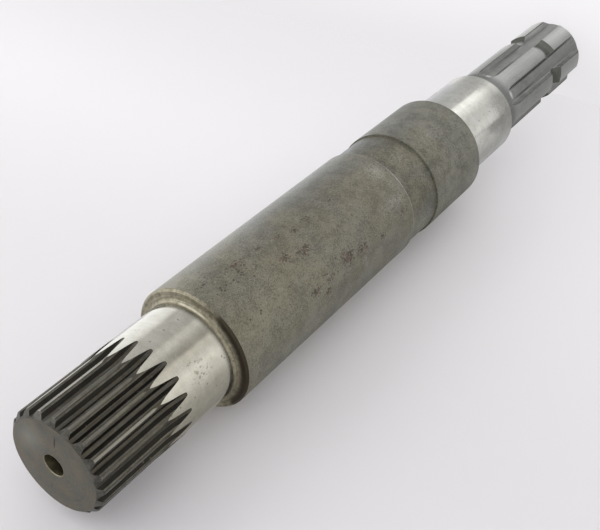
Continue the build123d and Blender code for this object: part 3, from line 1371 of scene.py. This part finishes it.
def shaft_finishes() -> dict[Zone, SkinFinish | MachinedFinish]:
    """Returns the finish of each zone of the shaft."""
    top, slots = Blank.length, [60.0 * slot for slot in range(6)]
    lengthways = {"rings": 0.05, "streaks": 2.2}
    faced = {"rings": 0.0, "circles": 2.5, "streaks": 0.02}
    scribed = (
        *spots(11.6, (top, 14.6, 2.0, 0.42), deep=3.3),
        *spots(11.0, (top, 192.6, 2.0, 0.32, 0.4), deep=2.6),
    )
    # Painted shade darkening the shoulder and fillet along one side, azimuths -100 to about 6 degrees.
    shoulder_shade = (
        *spots(24.3, *((307.6, azimuth, 3.0, 6.0) for azimuth in range(-100, -12, 6)), deep=4.4),
        *spots(24.3, (307.6, -10.0, 2.0, 6.0, 0.8), deep=3.0),
        *spots(24.3, (307.6, -3.0, 2.0, 5.0, 0.5), deep=2.0),
        *spots(24.4, (307.6, 6.0, 2.0, 8.0, 0.3), deep=1.2),
        *spots(21.8, *((308.2, azimuth, 2.6, 8.0, 0.42) for azimuth in range(-100, -22, 8)), deep=2.6),
    )
    # Painted highlights along the fillet.
    bright_places = (10.0, 17.0, 24.0, 31.0, 150.0)
    fillet_highlight = spots(20.3, *((309.0, azimuth, 0.8, 4.5, 0.5) for azimuth in bright_places), deep=0.7)
    # Painted highlights on the end face.
    face_highlight = (
        *spots(12.0, (top, 80.0, 3.0, 16.0, 0.31), deep=11.0),
        *spots(13.0, (top, 150.0, 3.0, 9.0, 0.14), deep=7.0),
        *spots(18.0, (top, 14.0, 3.0, 6.0, 0.12), deep=3.0),
    )
    seat_pits = spots(
        Blank.seat_radius,
        (321.5, -31.0, 6.5, 4.2),
        (326.0, -37.0, 6.0, 2.4, 0.8),
        (324.0, -20.0, 6.0, 2.0, 0.6),
    )
    # Painted highlights where the slots run out.
    run_out_highlights = spots(14.8, *((78.8, turn - 27.0, 2.0, 4.2, 0.42) for turn in slots), deep=1.8)
    # Painted shade along the slots' floor corners.
    slot_corner_shade = (
        *spots(14.9, *((45.0, turn - 17.4, 60.0, 0.8, 0.9 - 0.4 * (turn > 0)) for turn in slots), deep=1.5),
        *spots(14.8, *((66.0, turn - 38.4, 20.0, 0.7, 0.6) for turn in slots), deep=1.5),
    )
    # Painted highlights on the ring groove's lit side.
    groove_highlight = (
        *spots(14.9, (34.6, 1.5, 2.6, 6.0), deep=2.5),
        *spots(15.0, (34.6, 60.0, 5.0, 9.0), deep=3.0),
    )
    # Lighter patches on recess and collar: painted light, near azimuths 4 and -75 degrees.
    recess_painted_light = spots(Blank.recess_radius, (184.0, -78.0, 14.0, 11.0, 0.5), (184.0, 4.0, 7.0, 5.0, 0.5))
    collar_painted_light = spots(Blank.collar_radius, (160.0, 4.0, 12.0, 5.0, 0.4), (152.0, -74.0, 12.0, 8.0, 0.25))
    # Painted highlights on three lands of the fine spline.
    bright_lands = ((-33.7, 0.4), (38.3, 0.5), (56.3, 0.4))
    land_highlight = spots(
        Blank.spline_tip_radius,
        *((359.0, azimuth, 70.0, 4.0, light) for azimuth, light in bright_lands),
        deep=3.0,
    )
    return {
        Zone.END_HOLE: MachinedFinish(
            "drilled_hole", dark=(104, 99, 82), light=(186, 178, 150), roughness=0.4, marks=0.3,
            painted_shade_depth=0.0,
        ),
        Zone.END_FACE: MachinedFinish(
            "faced_end", dark=(72, 70, 61), light=(103, 101, 90), metallic=0.5, roughness=0.48, blotch=5.0,
            lines=0.25, tint=(255, 244, 236), marks=0.35, mark=(66, 63, 56), stain_and_shade=(32, 30, 26),
            stain_and_shade_spots=scribed, bright=(140, 140, 130), highlight_spots=face_highlight, painted_shade_depth=0.0, **faced,
        ),
        Zone.FINE_LAND: MachinedFinish(
            "fine_tooth_land", dark=(86, 85, 79), light=(122, 121, 113), roughness=0.2, lines=0.6, blotch=3.0,
            painted_shade_depth=0.3, bright=(150, 148, 140), highlight_spots=land_highlight, **lengthways,
        ),
        Zone.FINE_SPACE: MachinedFinish(
            "fine_tooth_space", dark=(56, 55, 49), light=(88, 86, 79), metallic=0.75, roughness=0.34,
            lines=0.6, tint=(255, 246, 236), painted_shade=(20, 19, 15), painted_shade_depth=0.4, painted_shade_reach=1.2, **lengthways,
        ),
        # The tooth flanks' near-black is painted shade.
        Zone.FINE_WALL: MachinedFinish(
            "fine_tooth_wall", dark=(22, 21, 18), light=(46, 44, 38), metallic=0.8, roughness=0.4, lines=0.6,
            painted_shade_depth=0.0, **lengthways,
        ),
        Zone.TOOTH_EDGE: MachinedFinish(
            "tooth_edge", dark=(70, 69, 63), light=(106, 104, 97), metallic=0.9, roughness=0.34,
            painted_shade_depth=0.4,
        ),
        Zone.TOOTH_END: MachinedFinish(
            "fine_tooth_end", dark=(50, 49, 44), light=(100, 98, 91), metallic=0.7, roughness=0.4, blotch=3.0,
            marks=0.4, painted_shade_reach=1.2,
        ),
        # The seat has a ring of painted shade beside the fillet.
        Zone.SEAT: MachinedFinish(
            "ground_seat", dark=(172, 171, 164), light=(192, 191, 185), roughness=0.11, lines=0.25, rings=2.2,
            streaks=0.012, blotch=4.0, bump=0.03, pit_spots=seat_pits, marks=0.3, mark=(112, 106, 95),
            painted_shade=(70, 66, 56), painted_shade_depth=0.2, shade_band_ring=(309.5, 3.2),
        ),
        Zone.SHOULDER: MachinedFinish(
            "turned_shoulder", dark=(92, 88, 71), light=(176, 170, 150), metallic=0.75, roughness=0.4,
            blotch=2.2, lines=0.4, stain_and_shade=(60, 53, 42), stain_and_shade_spots=shoulder_shade, stain_and_shade_edge=0.65,
            bright=(228, 221, 200), highlight_spots=fillet_highlight, marks=0.5, mark=(66, 58, 46),
            painted_shade_reach=2.0, painted_shade_depth=0.2, **faced,
        ),
        # The body's foot edge has a light band that is wear and painted highlight.
        Zone.BODY: SkinFinish(
            "forged_body", rust_spots=BODY_RUST, pitting_spots=BODY_PITTING, scuff_and_highlight_spots=BODY_SCUFFS_AND_HIGHLIGHTS,
            wear_and_highlight_ring=194.5,
        ),
        # Recess and collar: a ring of painted shade where they meet.
        Zone.RECESS: SkinFinish(
            "turned_recess", scuff_and_highlight_spots=recess_painted_light, dark=(76, 75, 66), light=(122, 120, 107), lines=0.14,
            painted_shade_ring=Blank.collar_top,
            warm_spots=spots(Blank.recess_radius, (184.0, 5.0, 9.0, 5.0), (186.0, -40.0, 9.0, 6.0)),
        ),
        Zone.COLLAR: SkinFinish(
            "turned_collar", scuff_and_highlight_spots=collar_painted_light, dark=(80, 80, 71), light=(126, 125, 114), lines=0.1,
            painted_shade_ring=Blank.collar_top,
            warm_spots=spots(Blank.collar_radius, (165.0, -10.0, 8.0, 9.0), (163.0, 12.0, 6.0, 5.0)),
        ),
        # The stub's lands have a ring of painted shadow below the seat.
        Zone.STUB_LAND: MachinedFinish(
            "stub_land", dark=(144, 144, 142), light=(162, 162, 160), metallic=0.95, roughness=0.3, lines=0.6,
            blotch=6.0, bump=0.05, marks=0.08, shade_band_ring=(87.0, 7.5), **lengthways,
        ),
        Zone.STUB_SLOT: MachinedFinish(
            "stub_slot", dark=(118, 118, 116), light=(148, 148, 146), metallic=0.85, roughness=0.36,
            lines=0.5, painted_shade=(26, 26, 23), painted_shade_depth=0.7, stain_and_shade=(36, 36, 33), stain_and_shade_spots=slot_corner_shade,
            stain_and_shade_edge=0.7, highlight_spots=run_out_highlights, **lengthways,
        ),
        # The ring groove's dark tones are painted shade.
        Zone.STUB_GROOVE: MachinedFinish(
            "stub_ring_groove", dark=(70, 70, 66), light=(100, 100, 95), metallic=0.7, roughness=0.42,
            lines=0.4, painted_shade=(26, 26, 23), painted_shade_depth=0.7, painted_shade_reach=3.0, bright=(156, 156, 154),
            highlight_spots=groove_highlight,
        ),
        Zone.FOOT: MachinedFinish(
            "faced_foot", dark=(110, 109, 104), light=(140, 139, 134), metallic=0.8, roughness=0.42, **faced,
        ),
    }


@dataclass(frozen=True)
class Stripe:
    """A line of light or shade: its azimuth, its brightness, where 1 is white paper, and its warmth."""

    azimuth: float
    bright: float
    warm: float = 0.0


def stripes(*marks: Sequence[float]) -> tuple[Stripe, ...]:
    """Lists stripes from the azimuth, the brightness and, unless it is 0, the warmth of each."""
    return tuple(Stripe(*mark) for mark in marks)


@dataclass(frozen=True)
class Card:
    """A curved card with lengthways stripes that only mirror reflections show.

    Azimuths are in degrees and run upwards; heights and the distance from the axis are in metres.
    """

    name: str
    foot: float
    top: float
    distance: float
    stripes: tuple[Stripe, ...]


# The bands that the real shaft's bright metal shows from the camera's side, thrown back along the
# mirrored sight lines. They suit that one view.
UPPER_STRIPES = stripes(
    (-62.0, 1.05, 1.0),
    (-48.0, 1.24, 1.0),
    (-40.0, 1.33, 1.0),
    (-26.0, 1.08, 1.0),
    (-11.0, 1.05, 1.3),
    (-4.0, 0.58, 1.4),
    (4.0, 0.63, 1.2),
    (18.0, 1.01, 0.8),
    (25.0, 1.03, 0.8),
    (32.0, 0.73, 0.8),
    (55.0, 0.82, 0.6),
    (66.0, 0.84, 0.6),
    (76.0, 1.4, 0.3),
    (92.0, 1.58, 0.1),
    (114.0, 1.6),
    (129.0, 1.4),
)
LOWER_STRIPES = stripes(
    (-60.0, 0.85),
    (-52.0, 1.16),
    (-42.0, 1.2),
    (-26.0, 1.07),
    (-11.0, 1.05),
    (2.0, 1.3),
    (15.0, 1.67),
    (22.0, 1.95),
    (33.0, 1.75),
    (36.5, 0.95),
    (50.0, 0.8),
    (70.0, 0.73, -0.3),
    (100.0, 0.77, -0.4),
    (129.0, 0.8, -0.4),
)
STUB_GLEAM = stripes(
    (-131.5, 0.51),
    (-109.5, 0.48),
    (-71.5, 0.46),
    (-41.5, 0.57),
    (-11.5, 0.66),
    (-1.5, 0.84),
    (8.5, 0.99),
    (18.5, 1.15),
    (28.5, 1.24),
    (38.5, 1.0),
    (68.5, 0.72),
    (108.5, 0.66),
    (138.5, 1.0),
)
LOWER_GLEAM = stripes(
    (-160.0, 0.46),
    (-131.5, 0.56),
    (-111.5, 0.71),
    (-91.5, 0.84),
    (-61.5, 1.25),
)
BODY_GLEAM = stripes(
    (-161.5, 0.2),
    (-137.0, 0.41),
    (-101.5, 0.59),
    (-71.5, 0.72),
)
UPPER_GLEAM = stripes(
    (-160.0, 0.35, 1.2),
    (-131.5, 0.467, 1.3),
    (-111.5, 0.54, 1.3),
    (-91.5, 0.64, 1.3),
    (-81.5, 0.79, 1.2),
    (-71.5, 0.97, 1.1),
    (-61.5, 1.1, 1.0),
)
BODY_STRIPES = stripes(
    (50.0, 0.8, -1.0),
    (64.0, 0.6, -1.0),
    (94.0, 0.64, -1.5),
    (110.0, 1.4, -1.5),
    (129.0, 1.6, -1.5),
)


@dataclass(frozen=True)
class Gleam:
    """The bands that mirror reflections of one length of the shaft find on the paper round it.

    Args:
        stripes: The bands; their azimuths are the directions of the reflected rays.
        start: The height where the length starts, in metres.
        slope: How many metres the camera's mirrored sight lines fall there for each metre outwards.
    """

    stripes: tuple[Stripe, ...]
    start: float
    slope: float


@dataclass(frozen=True)
class Lamp:
    """A square soft lamp that points at the axis. Sizes in metres, angles in degrees, power in watts."""

    name: str
    azimuth: float
    elevation: float
    distance: float
    size: float
    power: float
    aim: float = 0.15


def direction(azimuth: float, elevation: float) -> Vector:
    """Returns the unit vector that points along an azimuth and an elevation, in degrees."""
    a, e = math.radians(azimuth), math.radians(elevation)
    return Vector((math.cos(a) * math.cos(e), math.sin(a) * math.cos(e), math.sin(e)))


@dataclass
class Studio:
    """Floor, backdrop, lamp and reflecting cards. Sizes in metres, angles in degrees.

    Seen only in mirror reflections, floor and backdrop also show the gleams. They are placed for
    this file's Viewpoint alone, and from elsewhere the shaft shows them out of place: the shaft
    counts as a mirror of mirror_radius, mirror_turn is half the camera's azimuth in radians with
    its sign turned, and mirror_spread is the share by which a round mirror fans rays out close to
    it. The gleams start beyond gleam_edge, or all round it below foot_all_round, and end at
    gleam_top.
    """

    backdrop_facing: float = 27.4
    backdrop_gap: float = 0.0247
    floor_tone: Colour = (234, 232, 234)
    floor_far_tone: Colour = (249, 247, 249)
    backdrop_tone: Colour = (234, 232, 234)
    backdrop_high_tone: Colour = (225, 223, 225)
    floor_size: float = 12.0
    backdrop_size: float = 3.0
    lift: float = 0.85
    lift_high: float = 0.06
    lift_fades_at: float = 0.18
    sky: float = 0.97
    mirror_radius: float = 0.02
    mirror_turn: float = 0.1
    mirror_spread: float = 0.5
    wraps_at: float = 160.0
    gleam_edge: tuple[float, float] = (-50.0, -38.0)
    gleam_top: tuple[float, float] = (0.335, 0.35)
    gleam_join: float = 0.002
    foot_glow: tuple[float, float, float] = (0.02, 0.035, 1.3)
    foot_all_round: tuple[float, float] = (0.085, 0.091)
    key_lamp: Lamp = Lamp("key_lamp", azimuth=85.0, elevation=28.0, distance=1.2, size=0.9, power=4.0)
    cards: tuple[Card, ...] = (
        Card("upper_card", 0.20, 0.325, 0.11, UPPER_STRIPES),
        Card("body_card", 0.06, 0.20, 0.11, BODY_STRIPES),
        Card("lower_card", 0.02, 0.088, 0.062, LOWER_STRIPES),
    )
    gleams: tuple[Gleam, ...] = (
        Gleam(STUB_GLEAM, 0.0, 1.38),
        Gleam(LOWER_GLEAM, 0.088, 1.38),
        Gleam(BODY_GLEAM, 0.1346, 1.1),
        Gleam(UPPER_GLEAM, 0.3075, 0.74),
    )

    def paper(self, name: str, low: Colour, high: Colour, clear_behind: bool) -> Material:
        """Makes a matt paper whose shadows are lifted where it is looked at directly.

        Args:
            name: The material's name.
            low: Its colour where floor and backdrop meet.
            high: Its colour at the shaft's top, or well out on the floor.
            clear_behind: Whether it is only there for someone in front of it, and clear to soft light.

        Returns:
            The material.
        """
        material, sheet, shader, where = start_material(name)
        out = material.node_tree.nodes["Material Output"]
        path = sheet.add("ShaderNodeLightPath")
        seen = sheet.most(path.outputs["Is Camera Ray"], path.outputs["Is Glossy Ray"])
        seen = sheet.most(seen, path.outputs["Is Transmission Ray"])
        x, y, height = sheet.add("ShaderNodeSeparateXYZ", {0: where}).outputs
        turn = math.radians(self.backdrop_facing)
        ahead = sheet.plus(sheet.times(x, math.cos(turn)), sheet.times(y, math.sin(turn)))
        away = sheet.plus(ahead, self.backdrop_gap)
        # Painted shading: the backdrop darker higher up, the floor lighter further from the backdrop.
        change = sheet.ramp(height, 0.13, 0.3) if clear_behind else sheet.ramp(away, 0.0, 0.07)
        tone = sheet.blend(change, rgba(low), rgba(high))
        share = sheet.times(seen, sheet.ramp(height, self.lift_fades_at, 0.0, self.lift_high, self.lift))
        near, gleam = self.gleam(sheet, x, y, height)
        near = sheet.times(near, path.outputs["Is Glossy Ray"])
        share = sheet.most(share, near)
        tone = sheet.blend(near, tone, gleam)
        black = (0.0, 0.0, 0.0, 1.0)
        sheet.tree.links.new(sheet.blend(share, tone, black), shader.inputs["Base Color"])
        sheet.tree.links.new(sheet.blend(share, black, tone), shader.inputs["Emission Color"])
        shader.inputs["Emission Strength"].default_value = 1.0
        shader.inputs["Roughness"].default_value = 0.9
        shader.inputs["Specular IOR Level"].default_value = 0.1
        if clear_behind:
            front = sheet.minus(1.0, sheet.add("ShaderNodeNewGeometry").outputs["Backfacing"])
            clear = sheet.add("ShaderNodeBsdfTransparent")
            there = sheet.times(seen, front)
            mix = sheet.add("ShaderNodeMixShader", {0: there, 1: clear.outputs[0], 2: shader.outputs[0]})
            sheet.tree.links.new(mix.outputs[0], out.inputs[0])
        return material

    def gleam(self, sheet: Sheet, x: Socket, y: Socket, height: Socket) -> tuple[Socket, Socket]:
        """Works out the bands of the paper that the bright metal shows, for this file's Viewpoint.

        Args:
            sheet: The node sheet.
            x: The place's x.
            y: The place's y.
            height: The place's height.

        Returns:
            Where the bands lie, 0 to 1, and their colour.
        """
        reach = sheet.distance(x, y)
        nearness = sheet.math("MINIMUM", sheet.math("DIVIDE", self.mirror_radius, reach), 1.0)
        azimuth = sheet.math("ARCTAN2", y, x)
        behind = sheet.math("GREATER_THAN", azimuth, math.radians(self.wraps_at))
        azimuth = sheet.minus(azimuth, sheet.times(behind, math.tau))
        bent = sheet.plus(azimuth, sheet.times(nearness, self.mirror_turn))
        fanned = sheet.minus(1.0, sheet.times(nearness, self.mirror_spread))
        facing = sheet.math("DIVIDE", bent, fanned)
        beyond = sheet.minus(reach, self.mirror_radius)
        near = sheet.ramp(facing, *map(math.radians, self.gleam_edge), 1.0, 0.0)
        colour = None
        for band in self.gleams:
            paint = self.paint_stripes(sheet, facing, band.stripes)
            level = sheet.plus(sheet.times(beyond, band.slope), height)
            if colour is None:
                colour = sheet.blend(1.0, paint, sheet.ramp(level, *self.foot_glow, 1.0), "MULTIPLY")
                near = sheet.most(near, sheet.ramp(level, *self.foot_all_round, 1.0, 0.0))
            else:
                past = sheet.ramp(level, band.start - self.gleam_join, band.start + self.gleam_join)
                colour = sheet.blend(past, colour, paint)
        near = sheet.times(near, sheet.ramp(height, *self.gleam_top, 1.0, 0.0))
        return near, sheet.blend(1.0, colour, colour, "ADD")

    def sheet_of_paper(self, name: str, size: float, placing: Matrix, material: Material) -> bpy.types.Object:
        """Lays out a flat square.

        Args:
            name: The object's name.
            size: Half its side.
            placing: Where it goes; it starts flat, facing up, about the origin.
            material: Its paper.

        Returns:
            The object.
        """
        mesh = bmesh.new()
        bmesh.ops.create_grid(mesh, x_segments=1, y_segments=1, size=size)
        bmesh.ops.transform(mesh, matrix=placing, verts=mesh.verts)
        made = as_object(name, [mesh], [material])
        return made

    def hang_lamp(self, lamp: Lamp) -> bpy.types.Object:
        """Hangs a lamp.

        Args:
            lamp: Which lamp.

        Returns:
            The lamp's object.
        """
        data = bpy.data.lights.new(lamp.name, "AREA")
        data.shape = "SQUARE"
        data.size = lamp.size
        data.energy = lamp.power
        made = bpy.data.objects.new(lamp.name, data)
        bpy.context.scene.collection.objects.link(made)
        away = direction(lamp.azimuth, lamp.elevation)
        made.location = Vector((0.0, 0.0, lamp.aim)) + away * lamp.distance
        made.rotation_mode = "QUATERNION"
        made.rotation_quaternion = away.to_track_quat("Z", "Y")
        made.visible_camera = False
        return made

    def world(self, strength: float) -> None:
        """Surrounds the scene with plain pale light.

        Args:
            strength: The light's strength.
        """
        world = bpy.data.worlds.new("studio")
        bpy.context.scene.world = world
        world.use_nodes = True
        back = world.node_tree.nodes["Background"]
        back.inputs["Color"].default_value = rgba((253, 253, 253))
        back.inputs["Strength"].default_value = strength

    def paint_stripes(self, sheet: Sheet, azimuth: Socket, lines: Sequence[Stripe]) -> Socket:
        """Paints stripes by azimuth.

        Args:
            sheet: The node sheet.
            azimuth: The azimuth, in radians.
            lines: The stripes, by rising azimuth.

        Returns:
            Their colour at half its brightness.
        """
        first, last = lines[0].azimuth, lines[-1].azimuth
        place = sheet.add("ShaderNodeMapRange", {0: azimuth, 1: math.radians(first), 2: math.radians(last)})
        ramp = sheet.add("ShaderNodeValToRGB", {0: place.outputs[0]})
        marks = ramp.color_ramp.elements
        while len(marks) < len(lines):
            marks.new(0.5)
        for mark, line in zip(marks, lines):
            mark.position = (line.azimuth - first) / (last - first)
        for mark, line in zip(marks, lines):
            half = line.bright / 2.0
            mark.color = (half, half * (1.0 - 0.034 * line.warm), half * (1.0 - 0.105 * line.warm), 1.0)
        return ramp.outputs[0]

    def card_paint(self, card: Card) -> Material:
        """Paints a card with its stripes.

        Args:
            card: Which card.

        Returns:
            The material, which shines by itself.
        """
        material, sheet, shader, where = start_material(card.name)
        x, y, _ = sheet.add("ShaderNodeSeparateXYZ", {0: where}).outputs
        paint = self.paint_stripes(sheet, sheet.math("ARCTAN2", y, x), card.stripes)
        shader.inputs["Base Color"].default_value = (0.0, 0.0, 0.0, 1.0)
        shader.inputs["Specular IOR Level"].default_value = 0.0
        sheet.tree.links.new(paint, shader.inputs["Emission Color"])
        shader.inputs["Emission Strength"].default_value = 2.0
        return material

    def hang_card(self, card: Card) -> bpy.types.Object:
        """Hangs a curved card that only mirror reflections show.

        Args:
            card: Which card.

        Returns:
            The card.
        """
        first, last = card.stripes[0].azimuth, card.stripes[-1].azimuth
        mesh = bmesh.new()
        ends = [mesh.verts.new((card.distance / MM, 0.0, z / MM)) for z in (card.foot, card.top)]
        edge = mesh.edges.new(ends)
        spin(mesh, [*ends, edge], math.radians(last - first), 60)
        turned(mesh, first)
        bmesh.ops.scale(mesh, vec=(MM, MM, MM), verts=mesh.verts)
        made = as_object(card.name, [mesh], [self.card_paint(card)])
        made.visible_camera = False
        made.visible_diffuse = False
        made.visible_transmission = False
        made.visible_shadow = False
        return made

    def build(self) -> None:
        """Sets up the whole studio."""
        floor = self.paper("floor_paper", self.floor_tone, self.floor_far_tone, False)
        self.sheet_of_paper("floor", self.floor_size, Matrix(), floor)
        upright = Matrix.Rotation(math.radians(90.0), 4, "Y")
        turn = Matrix.Rotation(math.radians(self.backdrop_facing), 4, "Z") @ upright
        back = turn @ Vector((0.0, 0.0, -self.backdrop_gap))
        place = Matrix.Translation(back + Vector((0.0, 0.0, self.backdrop_size))) @ turn
        wall = self.paper("backdrop_paper", self.backdrop_tone, self.backdrop_high_tone, True)
        self.sheet_of_paper("backdrop", self.backdrop_size, place, wall)
        self.hang_lamp(self.key_lamp)
        self.world(self.sky)
        for card in self.cards:
            self.hang_card(card)
        log.info("studio ready")


@dataclass
class Viewpoint:
    """The camera: lens in millimetres, lengths in metres, angles in degrees."""

    lens: float = 61.7
    radius: float = 0.3023
    azimuth: float = -11.2
    height: float = 0.5111
    heading: float = 169.09
    pitch: float = -41.53
    roll: float = -130.03

    def build(self) -> bpy.types.Object:
        """Returns the scene's camera, placed and aimed."""
        data = bpy.data.cameras.new("camera")
        data.lens = self.lens
        data.sensor_width = 36.0
        data.clip_start = 0.01
        data.clip_end = 50.0
        made = bpy.data.objects.new("camera", data)
        bpy.context.scene.collection.objects.link(made)
        a = math.radians(self.azimuth)
        made.location = (self.radius * math.cos(a), self.radius * math.sin(a), self.height)
        ahead = direction(self.heading, self.pitch)
        level = ahead.to_track_quat("-Z", "Y").to_matrix().to_4x4()
        made.rotation_mode = "QUATERNION"
        made.rotation_quaternion = (level @ Matrix.Rotation(math.radians(self.roll), 4, "Z")).to_quaternion()
        bpy.context.scene.camera = made
        return made


def main() -> None:
    """Builds the shaft, the studio and the camera."""
    logging.basicConfig(level=logging.INFO)
    bpy.context.scene.view_settings.view_transform = "Standard"
    effects = Effects()
    finishes = shaft_finishes()
    slots = [finishes[zone].material(effects) for zone in Zone]
    Shaft().build(slots)
    Studio().build()
    Viewpoint().build()


if __name__ == "__main__":
    main()
